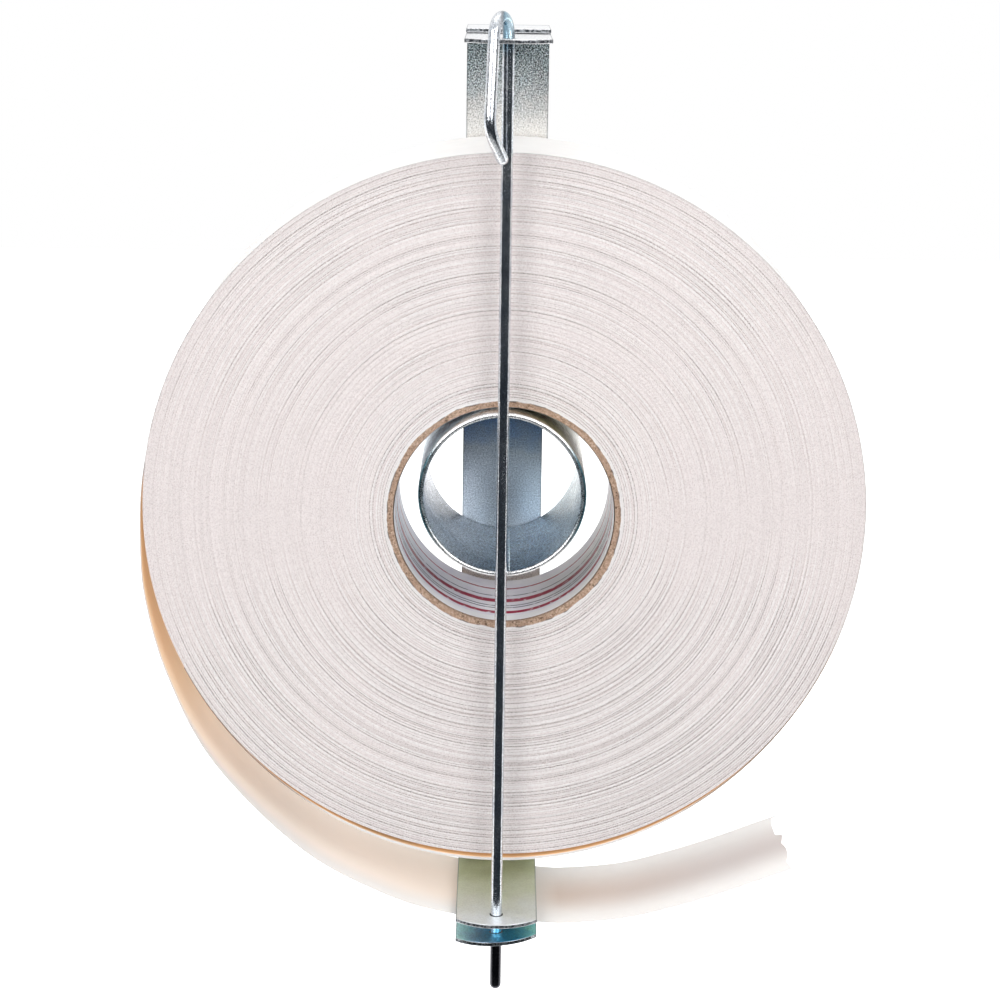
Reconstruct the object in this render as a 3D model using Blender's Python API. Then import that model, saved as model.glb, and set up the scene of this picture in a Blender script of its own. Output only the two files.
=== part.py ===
"""Belt-worn reel for a roll of drywall joint tape.

A zinc-plated strap is bent into a C round the roll and carries a short steel tube, the drum,
which the roll's cardboard core hangs on. A second strap behind it leaves room for a belt.
A wire rod drops through both ends of the C and keeps the roll on its drum. The tape leaves
the roll on the left and comes out between the two lower plates.

Metres, +Z up. The origin is on the back face, which lies against the hip, level with the
axis of the drum. The roll is wound and unwound about the Y axis, and -Y is the front.
"""
import math

import bmesh
import bpy
from mathutils import Matrix, Vector

# Clearance between pieces that touch on the real object
SEAT_GAP = 0.0003

# Tape, core and label
TAPE_WIDTH = 0.0524
TAPE_THICKNESS = 0.00025
WINDING_GAP = 0.00045
ROLL_RADIUS = 0.1256
ROLL_SIDE_SHIFT = 0.0007
CORE_BORE_RADIUS = 0.0381
CORE_WALL = 0.0026
LABEL_THICKNESS = 0.00015
LABEL_MARGIN = 0.0012

# Drum
DRUM_RADIUS = 0.0290
DRUM_WALL = 0.0019
DRUM_OVERHANG = 0.0065
ROLL_BACK_ROOM = 0.0020
WELD_HALF_ANGLE_DEG = 13.0

# Straps
STRAP_WIDTH = 0.0290
STRAP_THICKNESS = 0.0015
STRAP_BEND_RADIUS = 0.0025
STRAP_EDGE_ROUND = 0.00025
BELT_GAP = 0.0070
TOP_ROOM = 0.0351
BOTTOM_ROOM = 0.0193
SLOT_HEIGHT = 0.0051
BELT_STRAP_LAP = 0.0290
TOP_ARM_RISE_DEG = 1.5
SLOT_ARM_TWIST_DEG = 4.0
PLATE_FRONT_ROOM = 0.0037
PLATE_FRONT_BULGE = 0.0059

# Retaining rod
ROD_DIAMETER = 0.0040
ROD_HOLE_CLEARANCE = 0.0004
ROD_BELOW_PLATES = 0.0205
HOOK_ABOVE_PLATE = 0.0004
HOOK_LEG_GAP = 0.0006
HOOK_LEG_SIDE = 0.0048
HOOK_KNEE_DROP = 0.0291
HOOK_KNEE_SIDE = 0.0011
HOOK_KNEE_SPLAY = 0.0060
HOOK_KNEE_RADIUS = 0.0060
HOOK_TIP_DROP = 0.0116
HOOK_TIP_SIDE = 0.0016
HOOK_TIP_BACK = 0.0056

# Outer turn of tape, and its free tail
TURN_START_DEG = 207.0
TURN_SAG_END_DEG = 332.0
TURN_SAG = 0.0016
TAIL_LEAVE_DEG = 168.0
TAIL_DRIFT = 0.0040
TAIL_REAR_DROP = 0.0028
TAIL_STEP = 0.0070
# Angle about the roll, and how far the tail has dropped from the roll to the slot
TAIL_FALL_SHARES = (
    (176.0, 0.015),
    (184.0, 0.050),
    (194.0, 0.145),
    (207.0, 0.270),
    (222.0, 0.480),
    (240.0, 0.715),
    (254.0, 0.880),
)
# Beyond the slot: sideways and upwards, as shares of the roll's radius
TAIL_RISE_SHARES = (
    (0.10, -0.001),
    (0.26, 0.018),
    (0.40, 0.056),
    (0.53, 0.100),
    (0.64, 0.143),
    (0.725, 0.176),
)
SLOT_SLANT_SHARE = 0.62

# Facets
ROLL_STEPS = 144
DRUM_STEPS = 96
BEND_STEPS = 7
ARM_STEPS = 5
STRAP_COLUMNS = 14
ROD_SIDES = 16
HOOK_STEPS = 14
HOLE_STEPS = 40
TURN_STEP_DEG = 5.0

# Places along Y, from the hip face forwards
BELT_STRAP_FRONT_Y = -STRAP_THICKNESS
STRAP_BACK_Y = BELT_STRAP_FRONT_Y - BELT_GAP
STRAP_FRONT_Y = STRAP_BACK_Y - STRAP_THICKNESS
ROLL_REAR_Y = STRAP_FRONT_Y - ROLL_BACK_ROOM
ROLL_FRONT_Y = ROLL_REAR_Y - TAPE_WIDTH
DRUM_REAR_Y = STRAP_FRONT_Y - SEAT_GAP
DRUM_FRONT_Y = ROLL_FRONT_Y - DRUM_OVERHANG
ROD_RADIUS = ROD_DIAMETER / 2
ROD_Y = DRUM_FRONT_Y - SEAT_GAP - ROD_RADIUS
PLATE_FRONT_Y = ROD_Y - PLATE_FRONT_ROOM

# The roll hangs on top of the drum, so its axis is below the drum's
HANG_RADIUS = CORE_BORE_RADIUS - DRUM_RADIUS - SEAT_GAP
ROLL_X = ROLL_SIDE_SHIFT
ROLL_Z = -math.sqrt(HANG_RADIUS ** 2 - ROLL_SIDE_SHIFT ** 2)
ROLL_Y = (ROLL_FRONT_Y + ROLL_REAR_Y) / 2
CORE_INNER_RADIUS = CORE_BORE_RADIUS + LABEL_THICKNESS + SEAT_GAP
CORE_OUTER_RADIUS = CORE_BORE_RADIUS + CORE_WALL
WINDING_INNER_RADIUS = CORE_OUTER_RADIUS + SEAT_GAP
WINDING_OUTER_RADIUS = ROLL_RADIUS - TAPE_THICKNESS - WINDING_GAP
TURN_INNER_RADIUS = ROLL_RADIUS - TAPE_THICKNESS

# Heights of the plates: undersides of the top ones, top faces of the bottom ones
TOP_ARM_RISE = math.radians(TOP_ARM_RISE_DEG)
TOP_ARM_Z = ROLL_Z + ROLL_RADIUS + TOP_ROOM
BOTTOM_ARM_Z = ROLL_Z - ROLL_RADIUS - BOTTOM_ROOM
SLOT_TOP_Z = BOTTOM_ARM_Z - STRAP_THICKNESS
SLOT_BOTTOM_Z = SLOT_TOP_Z - SLOT_HEIGHT
SLOT_MID_Z = (SLOT_TOP_Z + SLOT_BOTTOM_Z) / 2
HOLE_RADIUS = ROD_RADIUS + ROD_HOLE_CLEARANCE
HALF_STRAP = STRAP_WIDTH / 2


def clear_scene():
    for old in list(bpy.data.objects):
        bpy.data.objects.remove(old, do_unlink=True)


def make_material(name, colour, roughness, metallic):
    material = bpy.data.materials.new(name)
    material.use_nodes = True
    shader = material.node_tree.nodes["Principled BSDF"]
    shader.inputs["Base Color"].default_value = (*colour, 1.0)
    shader.inputs["Roughness"].default_value = roughness
    shader.inputs["Metallic"].default_value = metallic
    return material


def add_object(name, verts, faces, material, parent, origin=Vector(), sharp_deg=35.0):
    """A closed mesh given in world places, with its origin where it turns or slides."""
    mesh = bpy.data.meshes.new(name)
    mesh.from_pydata([Vector(v) - origin for v in verts], [], faces)
    shell = bmesh.new()
    shell.from_mesh(mesh)
    bmesh.ops.recalc_face_normals(shell, faces=shell.faces)
    shell.to_mesh(mesh)
    shell.free()
    mesh.shade_smooth()
    mesh.set_sharp_from_angle(angle=math.radians(sharp_deg))
    mesh.materials.append(material)
    obj = bpy.data.objects.new(name, mesh)
    bpy.context.collection.objects.link(obj)
    obj.parent = parent
    obj.location = origin - parent.location
    return obj


def add_empty(name, place):
    empty = bpy.data.objects.new(name, None)
    empty.location = place
    bpy.context.collection.objects.link(empty)
    return empty


def turned_mesh(profile, steps, centre_x, centre_z):
    """A closed profile of (radius, y) points turned about an axis along Y."""
    verts = []
    faces = []
    count = len(profile)
    for step in range(steps):
        angle = 2 * math.pi * step / steps
        for radius, y in profile:
            verts.append((centre_x + radius * math.cos(angle), y, centre_z + radius * math.sin(angle)))
    for step in range(steps):
        here = step * count
        there = ((step + 1) % steps) * count
        for k in range(count):
            nxt = (k + 1) % count
            faces.append((here + k, here + nxt, there + nxt, there + k))
    return verts, faces


def ring_profile(inner, outer, front_y, rear_y):
    return [(inner, front_y), (outer, front_y), (outer, rear_y), (inner, rear_y)]


def lipped_profile(inner, outer, front_y, rear_y):
    """A tube's wall with a round lip at its front."""
    half = (outer - inner) / 2
    middle = (outer + inner) / 2
    lip = []
    for k in range(BEND_STEPS + 1):
        angle = math.pi * k / BEND_STEPS
        lip.append((middle - half * math.cos(angle), front_y + half - half * math.sin(angle)))
    return lip + [(outer, rear_y), (inner, rear_y)]


def swept_mesh(path, radius, sides):
    """A round wire along a path, with a dome at each end."""
    dome = [(math.cos(a), math.sin(a)) for a in (math.pi / 2 * k / 4 for k in range(1, 4))]
    dome.reverse()
    stations = []
    start = (path[0] - path[1]).normalized()
    end = (path[-1] - path[-2]).normalized()
    for size, out in dome:
        stations.append((path[0] + start * radius * out, size))
    stations += [(point, 1.0) for point in path]
    for size, out in reversed(dome):
        stations.append((path[-1] + end * radius * out, size))
    verts = []
    faces = []
    across = Vector((1, 0, 0))
    places = [place for place, size in stations]
    for k, (place, size) in enumerate(stations):
        along = (places[min(k + 1, len(places) - 1)] - places[max(k - 1, 0)]).normalized()
        across = (across - along * across.dot(along)).normalized()
        third = along.cross(across)
        for s in range(sides):
            angle = 2 * math.pi * s / sides
            verts.append(place + (across * math.cos(angle) + third * math.sin(angle)) * radius * size)
    for k in range(len(stations) - 1):
        for s in range(sides):
            nxt = (s + 1) % sides
            faces.append((k * sides + s, k * sides + nxt, (k + 1) * sides + nxt, (k + 1) * sides + s))
    first = len(verts)
    verts.append(path[0] + start * radius)
    verts.append(path[-1] + end * radius)
    last_ring = (len(stations) - 1) * sides
    for s in range(sides):
        nxt = (s + 1) % sides
        faces.append((first, nxt, s))
        faces.append((first + 1, last_ring + s, last_ring + nxt))
    return verts, faces


def filleted_path(corners, radius):
    """Points and outward normals along (y, z) corners, each inner corner rounded."""
    stations = []
    points = [Vector(corner) for corner in corners]
    for k, corner in enumerate(points):
        if k in (0, len(points) - 1):
            other = points[1] if k == 0 else points[-2]
            along = (other - corner) if k == 0 else (corner - other)
            stations.append((corner, outward(along)))
            continue
        before = (corner - points[k - 1]).normalized()
        after = (points[k + 1] - corner).normalized()
        turn = math.acos(max(-1.0, min(1.0, before.dot(after))))
        back_off = radius * math.tan(turn / 2)
        centre = corner - before * back_off - outward(before) * radius
        for step in range(BEND_STEPS + 1):
            normal = outward(before).slerp(outward(after), step / BEND_STEPS)
            stations.append((centre + normal * radius, normal))
    return stations


def outward(along):
    """The side away from the roll, for a path that runs back, down and forwards again."""
    direction = along.normalized()
    return Vector((-direction.y, direction.x))


def front_bulge(x):
    """How far a plate's rounded front runs past its corners, at x from the middle."""
    radius = (HALF_STRAP ** 2 + PLATE_FRONT_BULGE ** 2) / (2 * PLATE_FRONT_BULGE)
    return math.sqrt(radius ** 2 - x ** 2) - (radius - PLATE_FRONT_BULGE)


def strap_mesh(corners, bulge_first, bulge_last, twist_last):
    """A flat strip bent along its inner face's corners; ends may be rounded or twisted."""
    stations = filleted_path(corners, STRAP_BEND_RADIUS)
    last_bend, last_normal = stations[-2]
    free_end, _ = stations[-1]
    arm = [(last_bend.lerp(free_end, k / ARM_STEPS), last_normal) for k in range(1, ARM_STEPS)]
    stations = stations[:-1] + arm + [stations[-1]]
    verts = []
    faces = []
    rows = len(stations)
    columns = STRAP_COLUMNS + 1
    arm_start = rows - 1 - ARM_STEPS
    for row, (place, normal) in enumerate(stations):
        grown = max(0, row - arm_start) / ARM_STEPS
        twist = twist_last * grown
        for column in range(columns):
            x = STRAP_WIDTH * column / STRAP_COLUMNS - HALF_STRAP
            point = place.copy()
            if row == 0 and bulge_first:
                point -= (stations[1][0] - place).normalized() * front_bulge(x)
            if row == rows - 1 and bulge_last:
                point += (place - stations[-2][0]).normalized() * front_bulge(x)
            for depth in (0, STRAP_THICKNESS):
                y, z = point + normal * depth
                rise = math.sin(twist) * x
                verts.append((x * math.cos(twist), y, z + rise))
    def vertex(row, column, side):
        return (row * columns + column) * 2 + side
    for row in range(rows - 1):
        for column in range(columns - 1):
            for side in (0, 1):
                faces.append((vertex(row, column, side), vertex(row, column + 1, side),
                              vertex(row + 1, column + 1, side), vertex(row + 1, column, side)))
        for column in (0, columns - 1):
            faces.append((vertex(row, column, 0), vertex(row, column, 1),
                          vertex(row + 1, column, 1), vertex(row + 1, column, 0)))
    for row in (0, rows - 1):
        for column in range(columns - 1):
            faces.append((vertex(row, column, 0), vertex(row, column + 1, 0),
                          vertex(row, column + 1, 1), vertex(row, column, 1)))
    return verts, faces


def round_edges(obj, width):
    bevel = obj.modifiers.new("edge_round", "BEVEL")
    bevel.width = width
    bevel.segments = 2
    bevel.limit_method = "ANGLE"
    bevel.angle_limit = math.radians(60)


def drill(obj, name, y, z, depth):
    """A round hole straight down through a plate, where the rod passes."""
    cutter_mesh = bpy.data.meshes.new(name)
    shell = bmesh.new()
    bmesh.ops.create_cone(shell, cap_ends=True, segments=HOLE_STEPS, radius1=HOLE_RADIUS,
                          radius2=HOLE_RADIUS, depth=depth, matrix=Matrix.Translation((0, y, z)))
    shell.to_mesh(cutter_mesh)
    shell.free()
    cutter = bpy.data.objects.new(name, cutter_mesh)
    cutter.hide_render = True
    cutter.display_type = "WIRE"
    bpy.context.collection.objects.link(cutter)
    cut = obj.modifiers.new(name, "BOOLEAN")
    cut.operation = "DIFFERENCE"
    cut.solver = "EXACT"
    cut.object = cutter


def top_arm_z(y, lift):
    """Height of a top arm's underside at y, raised square to the arm by lift."""
    return TOP_ARM_Z + (STRAP_FRONT_Y - y) * math.tan(TOP_ARM_RISE) + lift / math.cos(TOP_ARM_RISE)


def make_inner_strap(material, parent):
    corners = (
        (PLATE_FRONT_Y, top_arm_z(PLATE_FRONT_Y, 0)),
        (STRAP_FRONT_Y, TOP_ARM_Z),
        (STRAP_FRONT_Y, BOTTOM_ARM_Z),
        (PLATE_FRONT_Y, BOTTOM_ARM_Z),
    )
    verts, faces = strap_mesh(corners, True, True, 0)
    strap = add_object("inner_strap", verts, faces, material, parent)
    round_edges(strap, STRAP_EDGE_ROUND)
    hole_depth = 2 * (STRAP_THICKNESS + PLATE_FRONT_ROOM)
    drill(strap, "top_hole_cutter", ROD_Y, top_arm_z(ROD_Y, STRAP_THICKNESS / 2), hole_depth)
    drill(strap, "bottom_hole_cutter", ROD_Y, BOTTOM_ARM_Z - STRAP_THICKNESS / 2, SLOT_HEIGHT)
    return strap


def make_belt_strap(material, parent):
    lift = STRAP_THICKNESS + SEAT_GAP
    lap_y = STRAP_FRONT_Y - BELT_STRAP_LAP
    corners = (
        (lap_y, top_arm_z(lap_y, lift)),
        (BELT_STRAP_FRONT_Y, top_arm_z(BELT_STRAP_FRONT_Y, lift)),
        (BELT_STRAP_FRONT_Y, SLOT_BOTTOM_Z),
        (PLATE_FRONT_Y, SLOT_BOTTOM_Z),
    )
    verts, faces = strap_mesh(corners, False, True, math.radians(SLOT_ARM_TWIST_DEG))
    strap = add_object("belt_strap", verts, faces, material, parent)
    round_edges(strap, STRAP_EDGE_ROUND)
    drill(strap, "slot_hole_cutter", ROD_Y, SLOT_BOTTOM_Z - STRAP_THICKNESS / 2, SLOT_HEIGHT)
    return strap


def make_drum(material, parent):
    profile = lipped_profile(DRUM_RADIUS - DRUM_WALL, DRUM_RADIUS, DRUM_FRONT_Y, DRUM_REAR_Y)
    verts, faces = turned_mesh(profile, DRUM_STEPS, 0, 0)
    return add_object("hub_drum", verts, faces, material, parent)


def make_drum_welds(material, parent):
    """A short bead where the drum's rear edge crosses the strap, above and below."""
    bead_radius = (ROLL_BACK_ROOM - 2 * SEAT_GAP) / 2
    path_radius = DRUM_RADIUS + SEAT_GAP + bead_radius
    bead_y = STRAP_FRONT_Y - SEAT_GAP - bead_radius
    for name, middle in (("drum_weld_top", 90.0), ("drum_weld_bottom", 270.0)):
        path = []
        for step in range(BEND_STEPS + 1):
            share = 2 * step / BEND_STEPS - 1
            angle = math.radians(middle + WELD_HALF_ANGLE_DEG * share)
            path.append(Vector((path_radius * math.cos(angle), bead_y, path_radius * math.sin(angle))))
        verts, faces = swept_mesh(path, bead_radius, ROD_SIDES // 2)
        add_object(name, verts, faces, material, parent)


def hook_path():
    """The rod's centre line, from its lower tip up, over and down to the hook's tip.

    The hook's leg splays forwards down to its knee and its lower end comes back."""
    plate_top = top_arm_z(PLATE_FRONT_Y - PLATE_FRONT_BULGE, STRAP_THICKNESS)
    bend_z = plate_top + HOOK_ABOVE_PLATE
    leg_y = PLATE_FRONT_Y - PLATE_FRONT_BULGE - HOOK_LEG_GAP - ROD_RADIUS
    low_z = SLOT_BOTTOM_Z - STRAP_THICKNESS - ROD_BELOW_PLATES + ROD_RADIUS
    rod_top = Vector((0, ROD_Y, bend_z))
    leg_top = Vector((-HOOK_LEG_SIDE, leg_y, bend_z))
    knee = leg_top + Vector((-HOOK_KNEE_SIDE, -HOOK_KNEE_SPLAY, -HOOK_KNEE_DROP))
    tip = Vector((-HOOK_TIP_SIDE, knee.y + HOOK_TIP_BACK, knee.z - HOOK_TIP_DROP + ROD_RADIUS))
    middle = (rod_top + leg_top) / 2
    reach = rod_top - middle
    up = Vector((0, 0, reach.length))
    over = math.pi - math.atan2(HOOK_KNEE_SPLAY, HOOK_KNEE_DROP)
    path = [Vector((0, ROD_Y, low_z)), rod_top]
    for step in range(1, HOOK_STEPS + 1):
        angle = over * step / HOOK_STEPS
        path.append(middle + reach * math.cos(angle) + up * math.sin(angle))
    path += rounded_corner(path[-1], knee, tip, HOOK_KNEE_RADIUS)
    path.append(tip)
    return path


def rounded_corner(before, corner, after, radius):
    """Points of a smooth bend that leaves and meets both legs the same way off."""
    coming = (corner - before).normalized()
    going = (after - corner).normalized()
    turn = coming.angle(going)
    back_off = min(radius * math.tan(turn / 2) * 2, (after - corner).length / 2)
    first = corner - coming * back_off
    last = corner + going * back_off
    points = []
    for step in range(BEND_STEPS):
        t = step / (BEND_STEPS - 1)
        points.append(first * (1 - t) ** 2 + corner * 2 * t * (1 - t) + last * t ** 2)
    return points


def make_rod(material, parent):
    verts, faces = swept_mesh(hook_path(), ROD_RADIUS, ROD_SIDES)
    return add_object("retaining_rod", verts, faces, material, parent, parent.location.copy())


def make_roll(paper, card, print_paper, parent):
    origin = parent.location.copy()
    label_front = ROLL_FRONT_Y + LABEL_MARGIN
    label_rear = ROLL_REAR_Y - LABEL_MARGIN
    label_outer = CORE_BORE_RADIUS + LABEL_THICKNESS
    rings = (
        ("tape_roll", WINDING_INNER_RADIUS, WINDING_OUTER_RADIUS, ROLL_FRONT_Y, ROLL_REAR_Y, paper, ROLL_STEPS),
        ("paper_core", CORE_INNER_RADIUS, CORE_OUTER_RADIUS, ROLL_FRONT_Y, ROLL_REAR_Y, card, DRUM_STEPS),
        ("core_label", CORE_BORE_RADIUS, label_outer, label_front, label_rear, print_paper, DRUM_STEPS),
    )
    for name, inner, outer, front_y, rear_y, material, steps in rings:
        verts, faces = turned_mesh(ring_profile(inner, outer, front_y, rear_y), steps, ROLL_X, ROLL_Z)
        add_object(name, verts, faces, material, parent, origin)


def about_roll(angle_deg, radius):
    angle = math.radians(angle_deg)
    return Vector((ROLL_X + radius * math.cos(angle), ROLL_Z + radius * math.sin(angle)))


def smooth_route(points, step):
    """Points along a Catmull-Rom curve through the given ones, about a step apart."""
    route = []
    padded = [points[0] * 2 - points[1]] + points + [points[-1] * 2 - points[-2]]
    for k in range(1, len(padded) - 2):
        a, b, c, d = padded[k - 1:k + 3]
        pieces = max(1, round((c - b).length / step))
        for piece in range(pieces):
            t = piece / pieces
            route.append(0.5 * (2 * b + (c - a) * t + (2 * a - 5 * b + 4 * c - d) * t ** 2
                                + (3 * b - a - 3 * c + d) * t ** 3))
    route.append(points[-1])
    return route


def turn_points():
    """The outer turn on the roll: it starts at the left, sags below and is tight elsewhere."""
    points = []
    end = TAIL_LEAVE_DEG + 360
    steps = round((end - TURN_START_DEG) / TURN_STEP_DEG)
    for step in range(steps):
        angle = TURN_START_DEG + (end - TURN_START_DEG) * step / steps
        loose = min(1.0, (angle - TURN_START_DEG) / (TURN_SAG_END_DEG - TURN_START_DEG))
        points.append(about_roll(angle, TURN_INNER_RADIUS + TURN_SAG * math.sin(math.pi * loose) ** 2))
    return points


def tail_points():
    """The free tail: down on the left, through the slot and up on the right."""
    fall = (ROLL_Z - SLOT_MID_Z) - TURN_INNER_RADIUS
    points = [about_roll(TAIL_LEAVE_DEG, TURN_INNER_RADIUS)]
    points += [about_roll(angle, TURN_INNER_RADIUS + fall * share) for angle, share in TAIL_FALL_SHARES]
    slant = SLOT_SLANT_SHARE * (SLOT_HEIGHT / 2 - TAPE_THICKNESS)
    # The lower plate is twisted, so its right side stands higher
    clear_rise = HALF_STRAP * math.sin(math.radians(SLOT_ARM_TWIST_DEG)) / 2
    points.append(Vector((-HALF_STRAP, SLOT_MID_Z + slant)))
    slot_end = Vector((HALF_STRAP, SLOT_MID_Z - slant + clear_rise))
    points.append(slot_end)
    points += [slot_end + Vector((along, up)) * ROLL_RADIUS for along, up in TAIL_RISE_SHARES]
    return smooth_route(points, TAIL_STEP)


def outer_turn_stations():
    """Front and rear points of the strip's inner face, with its outward direction."""
    turn = turn_points()
    tail = tail_points()
    route = turn + tail
    tail_length = sum((b - a).length for a, b in zip(tail, tail[1:]))
    stations = []
    gone = 0
    for k, point in enumerate(route):
        along = (route[min(k + 1, len(route) - 1)] - route[max(k - 1, 0)]).normalized()
        outwards = Vector((along.y, -along.x))
        if k > len(turn):
            gone += (point - route[k - 1]).length
        share = gone / tail_length
        past_slot = max(0, min(1, (point.x + HALF_STRAP) / (4 * HALF_STRAP))) if share else 0
        drop = TAIL_REAR_DROP * past_slot * (1 - share) if point.y < ROLL_Z else 0
        front = Vector((point.x, ROLL_FRONT_Y - TAIL_DRIFT * share, point.y))
        rear = Vector((point.x, ROLL_REAR_Y - TAIL_DRIFT * share, point.y - drop))
        stations.append((front, rear, Vector((outwards.x, 0, outwards.y))))
    return stations


def least_self_gap(stations):
    """Smallest distance between parts of the strip that are half a turn or more apart."""
    least = None
    half_turn = round(180 / TURN_STEP_DEG)
    for k, (here, _, _) in enumerate(stations):
        for there, _, _ in stations[k + half_turn:]:
            gap = (here - there).length - TAPE_THICKNESS
            least = gap if least is None else min(least, gap)
    return least


def make_outer_turn(material, parent):
    stations = outer_turn_stations()
    verts = []
    faces = []
    for front, rear, out in stations:
        verts += [front, front + out * TAPE_THICKNESS, rear + out * TAPE_THICKNESS, rear]
    for k in range(len(stations) - 1):
        for side in range(4):
            nxt = (side + 1) % 4
            faces.append((k * 4 + side, k * 4 + nxt, k * 4 + 4 + nxt, k * 4 + 4 + side))
    last = len(verts) - 4
    faces.append((0, 1, 2, 3))
    faces.append((last, last + 1, last + 2, last + 3))
    add_object("outer_tape_turn", verts, faces, material, parent)
    print("least gap of the outer turn to itself, mm:", round(least_self_gap(stations) * 1000, 2))


def build():
    clear_scene()
    zinc = make_material("zinc_plated_strap", (0.62, 0.65, 0.68), 0.34, 1.0)
    tube = make_material("zinc_plated_tube", (0.56, 0.60, 0.66), 0.38, 1.0)
    wire = make_material("zinc_plated_wire", (0.45, 0.47, 0.50), 0.25, 1.0)
    bead = make_material("weld_bead", (0.40, 0.41, 0.42), 0.5, 1.0)
    paper = make_material("joint_tape_paper", (0.86, 0.82, 0.80), 0.85, 0.0)
    tail_paper = make_material("joint_tape_outer_turn", (0.93, 0.90, 0.88), 0.85, 0.0)
    card = make_material("core_cardboard", (0.50, 0.34, 0.22), 0.9, 0.0)
    label = make_material("label_paper", (0.80, 0.78, 0.80), 0.55, 0.0)
    frame = add_empty("frame_origin", Vector((0, 0, 0)))
    roll = add_empty("roll_axis", Vector((ROLL_X, ROLL_Y, ROLL_Z)))
    rod = add_empty("rod_line", Vector((0, ROD_Y, TOP_ARM_Z)))
    make_inner_strap(zinc, frame)
    make_belt_strap(zinc, frame)
    make_drum(tube, frame)
    make_drum_welds(bead, frame)
    make_outer_turn(tail_paper, frame)
    make_roll(paper, card, label, roll)
    make_rod(wire, rod)


build()
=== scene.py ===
"""Looks of a belt-worn drywall tape reel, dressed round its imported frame.

Metres, +Z up, -Y is the front. The roll turns about an axis along Y.
"""
import math

import bmesh
import bpy
from mathutils import Matrix, Vector, noise


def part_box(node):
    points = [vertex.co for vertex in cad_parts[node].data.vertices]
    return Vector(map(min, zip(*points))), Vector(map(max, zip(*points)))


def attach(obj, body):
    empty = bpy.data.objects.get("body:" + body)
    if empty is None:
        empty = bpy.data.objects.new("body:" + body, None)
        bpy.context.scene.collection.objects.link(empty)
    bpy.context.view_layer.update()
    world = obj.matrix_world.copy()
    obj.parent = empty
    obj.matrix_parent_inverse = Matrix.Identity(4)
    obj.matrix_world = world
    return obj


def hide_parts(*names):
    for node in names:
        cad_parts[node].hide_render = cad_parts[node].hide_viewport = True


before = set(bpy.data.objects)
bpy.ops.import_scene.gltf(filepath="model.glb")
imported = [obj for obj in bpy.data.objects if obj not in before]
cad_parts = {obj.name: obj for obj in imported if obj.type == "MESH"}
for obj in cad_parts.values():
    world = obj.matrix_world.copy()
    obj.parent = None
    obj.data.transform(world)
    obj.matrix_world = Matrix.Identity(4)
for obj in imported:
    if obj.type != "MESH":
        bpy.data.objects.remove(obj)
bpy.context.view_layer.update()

MERGE = 1e-6
WHITE = (1.0, 1.0, 1.0)

# Camera, at the photograph's viewing angle
CAMERA_PLACE = Vector((-0.00184, -0.9144, 0.21223))
CAMERA_YAW = 0.0013
CAMERA_PITCH = 0.2482
CAMERA_ROLL = 0.0141
PHOTO_SIZE_PX = 1000
FOCAL_LENGTH_PX = 2533.43
SENSOR_WIDTH_MM = 36.0

# Places read from the frame
roll_low, roll_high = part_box("tape_roll")
core_low, core_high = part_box("paper_core")
label_low, label_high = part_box("core_label")
drum_low, drum_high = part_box("hub_drum")
rod_low, rod_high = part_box("retaining_rod")
inner_low, inner_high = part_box("inner_strap")
belt_low, belt_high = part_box("belt_strap")
ROLL_CENTRE = (roll_low + roll_high) / 2
DRUM_CENTRE = (drum_low + drum_high) / 2
ROLL_FRONT = roll_low.y
ROLL_REAR = roll_high.y
WINDING_OUTER = (roll_high.x - roll_low.x) / 2
CORE_OUTER = (core_high.x - core_low.x) / 2
LABEL_OUTER = (label_high.x - label_low.x) / 2
DRUM_OUTER = (drum_high.x - drum_low.x) / 2
HALF_STRAP = (inner_high.x - inner_low.x) / 2

# Clearances and walls, as the frame has them
SEAT_GAP = 0.0003
TAPE_THICKNESS = 0.00025
WINDING_GAP = 0.00045
LABEL_THICKNESS = 0.00015
DRUM_WALL = 0.0019
ROD_RADIUS = 0.0020
DRUM_INNER = DRUM_OUTER - DRUM_WALL
TURN_INNER = WINDING_OUTER + WINDING_GAP
ROLL_RADIUS = TURN_INNER + TAPE_THICKNESS
CORE_INNER = LABEL_OUTER + SEAT_GAP
WINDING_INNER = CORE_OUTER + SEAT_GAP


def add_node(tree, kind, links=None, **settings):
    """A node with its settings; a link's value is a socket to join or a number to set."""
    node = tree.nodes.new(kind)
    for key, value in settings.items():
        setattr(node, key, value)
    for name, value in (links or {}).items():
        if isinstance(value, bpy.types.NodeSocket):
            tree.links.new(value, node.inputs[name])
        else:
            node.inputs[name].default_value = value
    return node


def tree_of(*values):
    """The node tree of the first socket among the values."""
    return next(value.id_data for value in values if isinstance(value, bpy.types.NodeSocket))


def feed(node, name, value):
    node.id_data.links.new(value, node.inputs[name])


def maths(operation, first, second=None, third=None, clamp=False):
    links = {place: value for place, value in enumerate((first, second, third)) if value is not None}
    tree = tree_of(first, second)
    return add_node(tree, "ShaderNodeMath", links, operation=operation, use_clamp=clamp).outputs[0]


def plus(first, second, clamp=False):
    return maths("ADD", first, second, clamp=clamp)


def minus(first, second, clamp=False):
    return maths("SUBTRACT", first, second, clamp=clamp)


def times(first, second):
    return maths("MULTIPLY", first, second)


def distance_from(value, middle):
    return maths("ABSOLUTE", minus(value, middle))


def ranged(value, low, high, to_low=0.0, to_high=1.0):
    links = {"Value": value, "From Min": low, "From Max": high, "To Min": to_low, "To Max": to_high}
    return add_node(tree_of(value), "ShaderNodeMapRange", links).outputs["Result"]


def noise_of(place, scale, detail=2.0, dimensions="3D", roughness=0.5):
    key = "W" if dimensions == "1D" else "Vector"
    links = {key: place, "Scale": scale, "Detail": detail, "Roughness": roughness}
    return add_node(tree_of(place), "ShaderNodeTexNoise", links, noise_dimensions=dimensions).outputs[0]


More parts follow.
